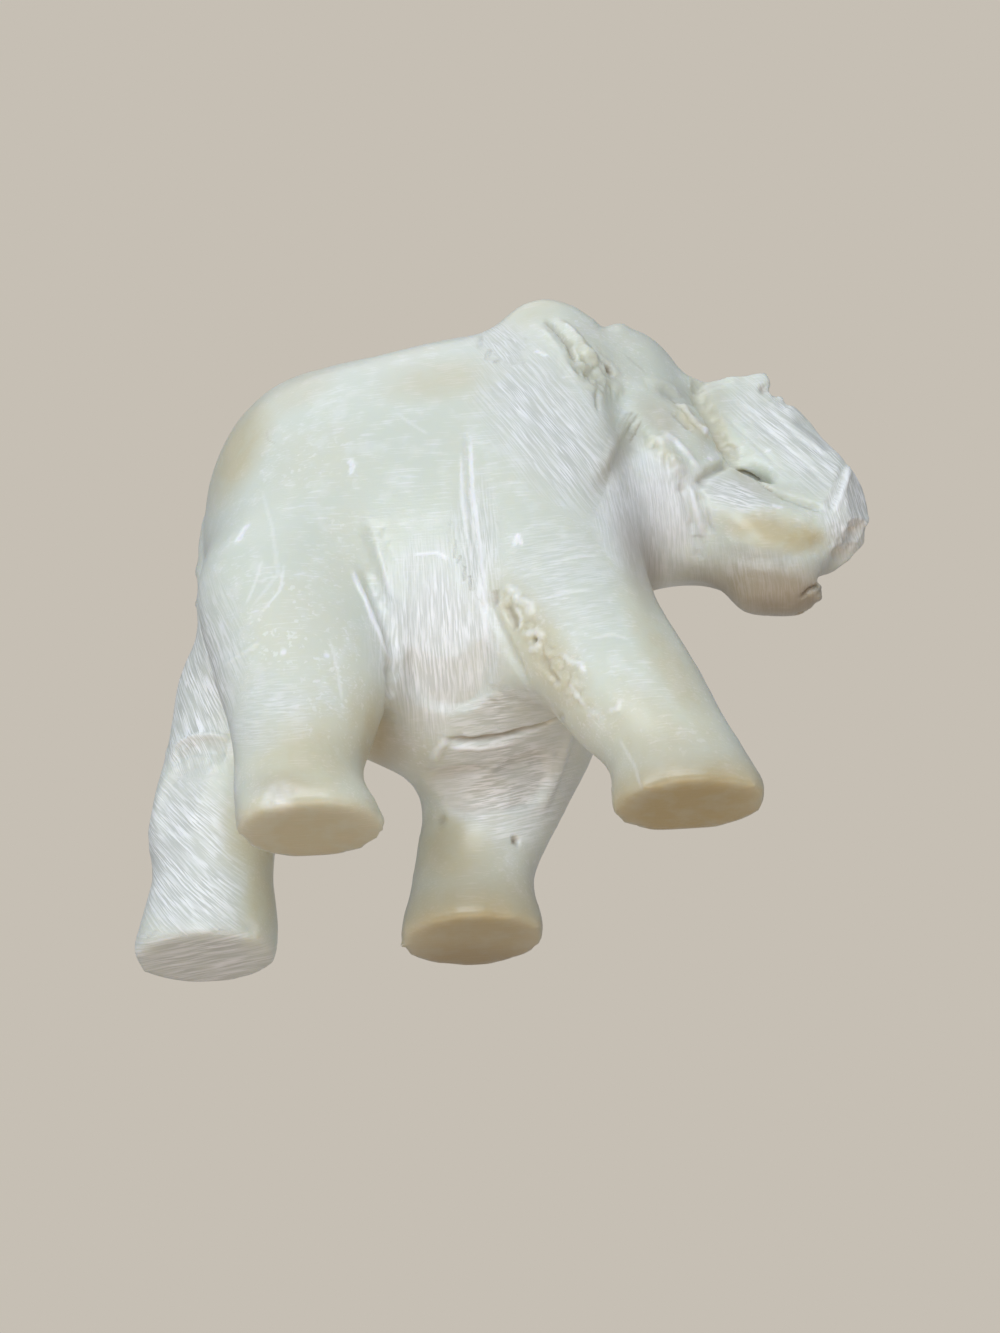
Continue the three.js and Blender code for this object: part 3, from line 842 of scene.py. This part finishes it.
@dataclass
class CarvedElephant:
    """The whole figurine, carved from one block.

    Args:
        view: Camera through which the photograph's places are found on the stone.
        finish: Its stone.
        node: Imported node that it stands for.
        cell: Size of the skin's cells on plain stone.
        middle_plane: Place across the body of the head's middle plane.
        head_start: Place along the body where the head begins.
        head_low: Height of the lowest part of the head.
        rubbing: Rounds of smoothing of the whole skin.
        rim_height: Height up to which the feet are rubbed more.
        rim_rubbing: Rounds of smoothing that round the rims of the soles.
        easing: Rounds of smoothing after cells are split.
        hidden_strength: How strong the marks of the shown side are on the hidden one.
        border: Share in view at which the shown side's marks give way to the hidden side's.
        swells: Sizes and heights of the unevenness that the hand leaves.
    """

    view: PhotoView
    finish: Alabaster
    node: str = "elephant"
    cell: float = 1.08
    middle_plane: float = -0.91
    head_start: float = 12.0
    head_low: float = 40.0
    rubbing: int = 8
    rim_height: float = 3.0
    rim_rubbing: int = 3
    easing: int = 2
    hidden_strength: float = 0.8
    border: float = 0.25
    swells: tuple[tuple[float, float], ...] = ((7.0, 0.12), (2.6, 0.05))
    piece: bpy.types.Object = field(init=False)
    marks: Marks = field(init=False)
    places: np.ndarray = field(init=False)
    normals: np.ndarray = field(init=False)
    shown: np.ndarray = field(init=False)
    skin: BVHTree = field(init=False)

    def build(self) -> bpy.types.Object:
        """Makes the piece, works the carving into it and dresses it.

        Returns:
            The finished piece.
        """
        self.copy_solid()
        self.refine()
        self.work_surface()
        self.dress()
        return self.piece

    def copy_solid(self) -> None:
        """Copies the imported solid, joins its loose triangles and gives it an even, smooth skin."""
        join_within = 0.001
        bpy.ops.object.select_all(action="DESELECT")
        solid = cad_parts[self.node]
        solid.select_set(True)
        bpy.context.view_layer.objects.active = solid
        bpy.ops.object.duplicate()
        self.piece = bpy.context.active_object
        self.piece.name = "carved_elephant"
        bpy.ops.object.mode_set(mode="EDIT")
        bpy.ops.mesh.select_all(action="SELECT")
        bpy.ops.mesh.remove_doubles(threshold=join_within * MM)
        bpy.ops.object.mode_set(mode="OBJECT")
        remesh = self.piece.modifiers.new("even skin", "REMESH")
        remesh.mode = "VOXEL"
        remesh.voxel_size = self.cell * MM
        bpy.ops.object.modifier_apply(modifier=remesh.name)
        self.smooth(self.rubbing)
        low = [vertex.index for vertex in self.piece.data.vertices if vertex.co.z < self.rim_height * MM]
        self.piece.vertex_groups.new(name="rims").add(low, 1.0, "REPLACE")
        self.smooth(self.rim_rubbing, "rims")
        self.piece.vertex_groups.clear()

    def smooth(self, rounds: int, group: str = "") -> None:
        """Rubs the skin smooth.

        Args:
            rounds: How many times each vertex is eased.
            group: Vertex group to keep to; the whole skin if it is empty.
        """
        ease = 0.5
        rub = self.piece.modifiers.new("rubbed", "SMOOTH")
        rub.factor = ease
        rub.iterations = rounds
        rub.vertex_group = group
        bpy.ops.object.modifier_apply(modifier=rub.name)

    def read_skin(self) -> None:
        """Reads the skin's places and normals, and what the photograph shows of it."""
        mesh = self.piece.data
        flat = np.empty(3 * len(mesh.vertices), dtype=np.float32)
        mesh.vertices.foreach_get("co", flat)
        self.places = flat.reshape(-1, 3).astype(float) / MM
        mesh.vertex_normals.foreach_get("vector", flat)
        self.normals = flat.reshape(-1, 3).astype(float)
        faces = [tuple(face.vertices) for face in mesh.polygons]
        self.skin = BVHTree.FromPolygons([Vector(place) for place in self.places], faces)
        self.shown = self.soften(self.find_shown())

    def write_skin(self) -> None:
        """Moves the skin's vertices to their places."""
        self.piece.data.vertices.foreach_set("co", (self.places * MM).astype(np.float32).ravel())
        self.piece.data.update()

    def mirror(self, places: np.ndarray) -> np.ndarray:
        """Mirrors places in the head's middle plane.

        Args:
            places: One place, or one row for each.

        Returns:
            The mirrored places.
        """
        return np.array((0.0, 2 * self.middle_plane, 0.0)) + places * MIRROR

    def sides(self, places: np.ndarray, mirrored: bool) -> tuple[np.ndarray, ...]:
        """Lists the places of a mark on each side that has it.

        Args:
            places: One place, or one row for each, as the photograph shows them.
            mirrored: Whether the unseen left side has the mark too.

        Returns:
            The places, followed by their mirror image if the left side has it.
        """
        return (places, self.mirror(places)) if mirrored else (places,)

    def find(self, pixel: Pixel) -> np.ndarray:
        """Finds the place on the stone that a pixel shows.

        Args:
            pixel: Place in the photograph.

        Returns:
            Place in millimetres: where the line of sight meets the stone, or the nearest stone beside it.
        """
        nearest, farthest, tries = 0.8, 1.2, 41
        start = self.view.place()
        way = self.view.ray(pixel)
        hit = self.skin.ray_cast(Vector(start), Vector(way))[0]
        if hit is None:
            reach = np.linspace(nearest, farthest, tries) * self.view.distance
            found = [self.skin.find_nearest(Vector(start + way * far)) for far in reach]
            hit = min(found, key=lambda result: result[3])[0]
        return np.array(hit)

    def trace(self, stroke: Stroke) -> np.ndarray:
        """Follows a stroke over the stone.

        Args:
            stroke: The stroke to follow.

        Returns:
            Places along it in millimetres, a few to a millimetre.
        """
        step_px = 2.0
        places = []
        for first, second in zip(stroke.pixels, stroke.pixels[1:]):
            start, end = np.array(first, float), np.array(second, float)
            steps = max(int(np.linalg.norm(end - start) / step_px), 1)
            places.extend(self.find(tuple(start + (end - start) * i / steps)) for i in range(steps))
        places.append(self.find(stroke.pixels[-1]))
        return np.array(places)

    def distance(self, path: np.ndarray) -> tuple[np.ndarray, np.ndarray]:
        """Measures from the skin's vertices to a path.

        Args:
            path: Places along the path.

        Returns:
            Distance of each vertex to the path, and how far along the path its nearest place is, from 0 to 1.
        """
        reach = 4.5
        off = np.full(len(self.places), np.inf)
        along = np.zeros(len(self.places))
        low, high = path.min(axis=0) - reach, path.max(axis=0) + reach
        close = np.flatnonzero(np.all((self.places > low) & (self.places < high), axis=1))
        gaps = np.linalg.norm(self.places[close, None, :] - path[None, :, :], axis=2)
        off[close] = gaps.min(axis=1)
        along[close] = gaps.argmin(axis=1) / max(len(path) - 1, 1)
        return off, along

    def find_shown(self) -> np.ndarray:
        """Tells which vertices the photograph shows.

        Returns:
            True for a vertex in view.
        """
        slack = 0.6
        start = self.view.place()
        sight = self.places - start
        far = np.linalg.norm(sight, axis=1)
        shown = np.einsum("ij,ij->i", sight, self.normals) < 0
        for i in np.flatnonzero(shown):
            hit = self.skin.ray_cast(Vector(start), Vector(sight[i] / far[i]))
            shown[i] = hit[3] is None or hit[3] > far[i] - slack
        return shown

    def soften(self, shown: np.ndarray) -> np.ndarray:
        """Softens the border between what the photograph shows and what it hides.

        Args:
            shown: True for a vertex in view.

        Returns:
            Share of each vertex's surroundings that is in view.
        """
        rounds = 8
        mesh = self.piece.data
        ends = np.empty(2 * len(mesh.edges), dtype=np.int32)
        mesh.edges.foreach_get("vertices", ends)
        first, second = ends.reshape(-1, 2).T
        count = len(shown)
        neighbours = np.maximum(np.bincount(ends, minlength=count), 1)
        share = shown.astype(float)
        for _ in range(rounds):
            total = np.bincount(first, share[second], count) + np.bincount(second, share[first], count)
            share = total / neighbours
        return share

    def patch_shares(self, patches: tuple[Patch, ...]) -> np.ndarray:
        """Strength of each patch on each vertex; the hidden side mirrors the shown one, more faintly.

        Args:
            patches: Patches as the photograph shows them.

        Returns:
            One row of strengths for each patch.
        """
        clear_of_middle, grazing = 3.0, 0.3
        mirrored = self.mirror(self.places)
        direct = self.view.pixels_of(self.places)
        other = self.view.pixels_of(mirrored)
        sight = mirrored - self.view.place()
        sight /= np.linalg.norm(sight, axis=1)[:, None]
        facing = -np.einsum("ij,ij->i", sight, self.normals * MIRROR)
        away = np.clip((self.places[:, 1] - self.middle_plane) / clear_of_middle, 0.0, 1.0)
        near = np.clip((self.shown - self.border) / self.border, 0.0, 1.0)
        far = np.clip((self.border - self.shown) / self.border, 0.0, 1.0)
        far *= self.hidden_strength * away * np.clip(facing / grazing, 0.0, 1.0)
        rows = [np.maximum(near * patch.weight(direct), far * patch.weight(other)) for patch in patches]
        return np.array(rows)

    def near_carving(self, reach: float) -> np.ndarray:
        """Tells which vertices lie near a carved line, a dent, a corner of the outline or broken stone.

        Args:
            reach: How near.

        Returns:
            True for each such vertex.
        """
        crumbled_enough = 0.2
        near = self.patch_shares(CRUMBLED).max(axis=0) > crumbled_enough
        pixels = self.view.pixels_of(self.places)
        for nudge in NUDGES:
            near |= np.linalg.norm(pixels - np.array(nudge.pixel), axis=1) < nudge.radius_px
        for stroke in STROKES:
            for places in self.sides(self.trace(stroke), stroke.mirrored):
                near |= self.distance(places)[0] < stroke.half + reach
        for dab in DABS:
            near |= np.linalg.norm(self.places - self.find(dab.pixel), axis=1) < dab.radius + reach
        return near

    def split(self, wanted: np.ndarray) -> None:
        """Splits cells of the skin into four, and eases the new ones.

        Args:
            wanted: True for each vertex whose cells are split.
        """
        bpy.ops.object.mode_set(mode="EDIT")
        bpy.ops.mesh.select_mode(type="FACE")
        bpy.ops.mesh.select_all(action="DESELECT")
        bpy.ops.object.mode_set(mode="OBJECT")
        for face in self.piece.data.polygons:
            face.select = bool(wanted[list(face.vertices)].all())
        bpy.ops.object.mode_set(mode="EDIT")
        bpy.ops.mesh.subdivide(number_cuts=1)
        bpy.ops.object.mode_set(mode="OBJECT")
        self.smooth(self.easing)
        self.read_skin()

    def refine(self) -> None:
        """Gives finer cells to the head and rasped stone, and the finest to carved lines and broken stone."""
        wide_reach, close_reach = 2.0, 0.5
        rasped_enough = 0.5
        self.read_skin()
        head = (self.places[:, 0] > self.head_start) & (self.places[:, 2] > self.head_low)
        rasped = self.patch_shares(RASPED).max(axis=0) > rasped_enough
        self.split(head | rasped | self.near_carving(wide_reach))
        self.split(self.near_carving(close_reach))

    def noise_at(self, places: np.ndarray, step: float) -> np.ndarray:
        """Smooth noise from -1 to 1.

        Args:
            places: Places in millimetres.
            step: Size of one swell.

        Returns:
            Noise at each place.
        """
        return np.array([noise.noise(Vector(place)) for place in places / step])

    def work_surface(self) -> None:
        """Carves the skin, and notes rasp marks, dirt with painted shade, tints and bruises on it."""
        rim, facing = 0.4, -0.7
        count = len(self.places)
        self.marks = Marks(np.zeros(count), np.zeros(count), np.zeros(count))
        self.cut_facets()
        self.sharpen_outline()
        self.write_skin()
        self.read_skin()
        self.cut_lines()
        self.crumble()
        self.rasp()
        marks = self.marks
        for size, height in self.swells:
            marks.depth += height * self.noise_at(self.places, size)
        stained = self.patch_shares(STAINED).max(axis=0)
        # The soiling patches paint shade as well as dust.
        soiled_and_shaded = self.patch_shares(SOILED_AND_SHADED).max(axis=0)
        notes = {"stain": stained, "dirt_and_shade": np.maximum(marks.dirt_and_shade, soiled_and_shaded), "fresh": marks.fresh}
        for name, values in notes.items():
            self.note(name, np.clip(values, 0.0, 1.0))
        sole = np.clip(1.0 - self.places[:, 2] / rim, 0.0, 1.0) * (self.normals[:, 2] < facing)
        self.places -= self.normals * (marks.depth * (1.0 - sole))[:, None]
        self.places[:, 2] = np.maximum(self.places[:, 2], 0.0)
        self.write_skin()

    def cut_facets(self) -> None:
        """Cuts the flats of the chisel."""
        soft_rim = 0.2
        _, right, top = self.view.axes()
        for facet in FACETS:
            middle = self.find(facet.pixel)
            off = np.linalg.norm(self.places - middle, axis=1)
            near = off < facet.radius
            normal = self.normals[near].mean(axis=0) + facet.lean[0] * right + facet.lean[1] * top
            normal /= np.linalg.norm(normal)
            height = np.maximum((self.places - middle) @ normal + facet.depth, 0.0)
            share = np.clip((1.0 - off / facet.radius) / soft_rim, 0.0, 1.0)
            self.places -= (height * share)[:, None] * normal
            self.marks.add(np.where(height > 0.0, share, 0.0), 0.0, 0.0, facet.fresh)

    def sharpen_outline(self) -> None:
        """Pushes the stone where the photograph's outline has a corner or a notch."""
        forward, right, top = self.view.axes()
        pixels = self.view.pixels_of(self.places)
        deep = (self.places - self.view.place()) @ forward
        for nudge in NUDGES:
            off = np.linalg.norm(pixels - np.array(nudge.pixel), axis=1)
            inside = np.clip(1.0 - off / nudge.radius_px, 0.0, 1.0)
            reach = smoothstep(inside) * deep / self.view.focal_px
            self.places += reach[:, None] * (nudge.push_px[0] * right - nudge.push_px[1] * top)

    def cut_lines(self) -> None:
        """Cuts the carved lines, dents and lumps, with edges that waver."""
        waver, waver_step, widen = 0.35, 1.1, 1.25
        taper_share, blunt_end = 5.0, 0.15
        wavering = 1.0 + waver * self.noise_at(self.places, waver_step)

        def section(off: np.ndarray, half: float, cut: Cut) -> np.ndarray:
            """Strength of a cut at each distance from its middle, given half its width."""
            inside = np.clip(1.0 - off * wavering / (half * widen), 0.0, 1.0)
            return inside if cut is Cut.SHARP else smoothstep(inside)

        for stroke in STROKES:
            for places in self.sides(self.trace(stroke), stroke.mirrored):
                off, along = self.distance(places)
                taper = np.clip(np.minimum(along, 1 - along) * taper_share + blunt_end, 0, 1)
                shape = section(off, stroke.half, stroke.cut) * taper
                self.marks.add(shape, stroke.depth, stroke.dirt_and_shade, stroke.fresh)
        for dab in DABS:
            for place in self.sides(self.find(dab.pixel), dab.mirrored):
                off = np.linalg.norm(self.places - place, axis=1)
                self.marks.add(section(off, dab.radius, Cut.ROUND), dab.depth, dab.dirt_and_shade, dab.fresh)

    def crumble(self) -> None:
        """Roughens the broken stone into crumbs with dirt and painted shade between them."""
        crease, base, finer = 0.25, 0.5, 2
        coarse_height, fine_height = 2.0, 0.5
        marks = self.marks
        for patch, share in zip(CRUMBLED, self.patch_shares(CRUMBLED)):
            coarse = np.abs(self.noise_at(self.places, patch.crumb))
            fine = np.abs(self.noise_at(self.places, patch.crumb / finer))
            lumps = coarse_height * coarse + fine_height * fine
            dirt_and_shade = share * patch.dirt_and_shade * np.clip(1 - lumps / crease, 0.0, 1.0)
            marks.depth += share * patch.relief * (base - lumps)
            marks.dirt_and_shade = np.maximum(marks.dirt_and_shade, dirt_and_shade)

    def rasp(self) -> None:
        """Cuts the furrows of the rasp, and notes where and which way it went."""
        ragged, ragged_step, seam = 0.5, 2.5, 0.15
        furrow_width, furrow_strokes = 0.9, 0.5
        shares = self.patch_shares(RASPED)
        edges = 1.0 + ragged * self.noise_at(self.places, ragged_step)
        best = np.argmax(shares, axis=0)
        second, first = np.sort(shares, axis=0)[-2:]
        combed = np.clip((first - second) / seam, 0.0, 1.0)
        stained = self.patch_shares(STAINED).max(axis=0)
        rasped = np.clip(first * edges - stained, 0.0, 1.0)
        rasp_place = self.rasp_places(best)
        grooves = self.noise_at(rasp_place * np.array((1 / furrow_width, furrow_strokes, 1.0)), 1.0)
        furrows = np.array([patch.furrow for patch in RASPED])[best]
        white = np.array([patch.white for patch in RASPED])[best]
        self.marks.depth += furrows * rasped * combed * grooves
        self.marks.fresh = np.maximum(self.marks.fresh, white * rasped)
        self.note("rasped", rasped)
        self.note("combed", combed)
        attribute = self.piece.data.attributes.new("rasp_place", "FLOAT_VECTOR", "POINT")
        attribute.data.foreach_set("vector", rasp_place.astype(np.float32).ravel())

    def rasp_places(self, best: np.ndarray) -> np.ndarray:
        """Counts places across and along the rasp strokes.

        Args:
            best: Number of the rasped patch that each vertex belongs to.

        Returns:
            Millimetres across the strokes, stroke lengths along them, and a number that parts the patches.
        """
        apart = 17.0
        _, right, top = self.view.axes()
        result = np.zeros_like(self.places)
        seen = np.where(self.shown[:, None] > self.border, self.places, self.mirror(self.places))
        for number, patch in enumerate(RASPED):
            own = best == number
            angle = math.radians(patch.way)
            along = seen[own] @ (math.cos(angle) * right - math.sin(angle) * top)
            across = seen[own] @ (math.sin(angle) * right + math.cos(angle) * top)
            result[own] = np.stack((across, along / patch.run, np.full(own.sum(), apart * number)), axis=1)
        return result

    def note(self, name: str, values: np.ndarray) -> None:
        """Keeps a value for each vertex, for the material.

        Args:
            name: Name that the material reads it by.
            values: One value for each vertex.
        """
        attribute = self.piece.data.attributes.new(name, "FLOAT", "POINT")
        attribute.data.foreach_set("value", values.astype(np.float32))

    def dress(self) -> None:
        """Gives the piece its stone, and sets it in the frame."""
        self.piece.data.materials.clear()
        self.piece.data.materials.append(self.finish.make())
        bpy.ops.object.shade_smooth()
        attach(self.piece, "root")
        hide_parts(self.node)


@dataclass(frozen=True)
class Lamp:
    """A soft square lamp that faces the figurine.

    Args:
        name: Name of the lamp.
        place_m: Its place, in metres.
        size_m: Length of its sides, in metres.
        watts: Its power.
        colour: Its colour, as sRGB hex.
        glints: Whether it shows as a reflection in the polish.
    """

    name: str
    place_m: tuple[float, float, float]
    size_m: float
    watts: float
    colour: str
    glints: bool = True


@dataclass(frozen=True)
class Studio:
    """Pale floor, pale surroundings and soft lamps.

    Args:
        floor_sides: Number of sides of the round floor.
        floor_radius_m: Radius of the floor.
        floor_solid_m: Distance from the middle at which the floor starts to fade into the surroundings.
        floor_drop: Gap between the soles and the floor.
        floor_colour: Colour of the floor's paint.
        surround_colour: Colour of the surroundings.
        ambient_colour: Colour of the light from all around.
        ambient_strength: Strength of that light.
        lamps: The lamps.
        lamp_aim_m: Point that they face, in metres.
    """

    floor_sides: int = 96
    floor_radius_m: float = 0.9
    floor_solid_m: float = 0.12
    floor_drop: float = 0.2
    floor_colour: str = "#ECE6DC"
    surround_colour: str = "#C6BFB4"
    ambient_colour: str = "#EEF1F4"
    ambient_strength: float = 0.33
    lamps: tuple[Lamp, ...] = (
        Lamp("key", (-0.18, -0.9, 0.0), 0.7, 6.2, "#EEF7FF"),
        Lamp("under_fill", (0.0, -0.2, -0.85), 0.7, 1.7, "#FFD6A6"),
        Lamp("top", (-0.15, -0.1, 1.0), 0.8, 1.7, "#FFFFFF"),
        Lamp("left_fill", (0.3, 0.9, 0.4), 0.8, 2.6, "#FFFCF6", glints=False),
    )
    lamp_aim_m: tuple[float, float, float] = (0.0, 0.0, 0.045)

    def build(self) -> None:
        """Makes the floor, the surroundings and the lamps."""
        self.make_floor()
        self.make_surroundings()
        for lamp in self.lamps:
            self.add_lamp(lamp)

    def make_floor(self) -> None:
        """Adds a floor that shows from above, fades out towards its rim, and is clear from below."""
        bpy.ops.object.select_all(action="DESELECT")
        bpy.ops.mesh.primitive_circle_add(
            vertices=self.floor_sides,
            radius=self.floor_radius_m,
            fill_type="NGON",
            location=(0, 0, -self.floor_drop * MM),
        )
        floor = bpy.context.active_object
        floor.name = "floor"
        material = bpy.data.materials.new("matt_painted_board")
        tree = empty_tree(material)
        paint = add_node(tree, "BsdfDiffuse", {}, {"Color": linear(self.floor_colour)})
        clear = add_node(tree, "BsdfTransparent")
        place = add_node(tree, "TexCoord").outputs["Object"]
        away = add_node(tree, "VectorMath", {"operation": "LENGTH"}, {0: place}).outputs["Value"]
        sockets = {"Value": away, "From Min": self.floor_solid_m, "From Max": self.floor_radius_m}
        fade = add_node(tree, "MapRange", {"interpolation_type": "SMOOTHSTEP"}, sockets).outputs[0]
        below = add_node(tree, "NewGeometry").outputs["Backfacing"]
        unseen = add_node(tree, "Math", {"operation": "MAXIMUM"}, {0: fade, 1: below}).outputs[0]
        sockets = {0: unseen, 1: paint.outputs[0], 2: clear.outputs[0]}
        shown = add_node(tree, "MixShader", {}, sockets)
        add_node(tree, "OutputMaterial", {}, {"Surface": shown.outputs[0]})
        floor.data.materials.append(material)
        for rays in ("diffuse", "glossy", "transmission", "shadow"):
            setattr(floor, f"visible_{rays}", False)

    def make_surroundings(self) -> None:
        """Sets the plain background and the even light that comes from all around."""
        world = bpy.data.worlds.new("studio")
        bpy.context.scene.world = world
        tree = empty_tree(world)
        sockets = {"Color": linear(self.ambient_colour), "Strength": self.ambient_strength}
        ambient = add_node(tree, "Background", {}, sockets)
        plain = add_node(tree, "Background", {}, {"Color": linear(self.surround_colour)})
        looked_at = add_node(tree, "LightPath").outputs["Is Camera Ray"]
        sockets = {0: looked_at, 1: ambient.outputs[0], 2: plain.outputs[0]}
        both = add_node(tree, "MixShader", {}, sockets)
        add_node(tree, "OutputWorld", {}, {"Surface": both.outputs[0]})
        bpy.context.scene.view_settings.view_transform = "Standard"

    def add_lamp(self, lamp: Lamp) -> None:
        """Adds a lamp.

        Args:
            lamp: The lamp to add.
        """
        bpy.ops.object.light_add(type="AREA", location=lamp.place_m)
        added = bpy.context.active_object
        added.name = lamp.name
        added.data.size = lamp.size_m
        added.data.energy = lamp.watts
        added.data.color = linear(lamp.colour)[:3]
        aim = Vector(self.lamp_aim_m) - Vector(lamp.place_m)
        added.rotation_euler = aim.to_track_quat("-Z", "Y").to_euler()
        added.visible_camera = False
        added.visible_glossy = lamp.glints


def main() -> None:
    """Builds the camera, the figurine and the studio, in that order."""
    logging.basicConfig(level=logging.INFO, format="%(name)s: %(message)s")
    view = PhotoView()
    view.make_camera()
    elephant = CarvedElephant(view, Alabaster()).build()
    elephant.data.calc_loop_triangles()
    LOG.info("%s has %d triangles", elephant.name, len(elephant.data.loop_triangles))
    Studio().build()


if __name__ == "__main__":
    main()
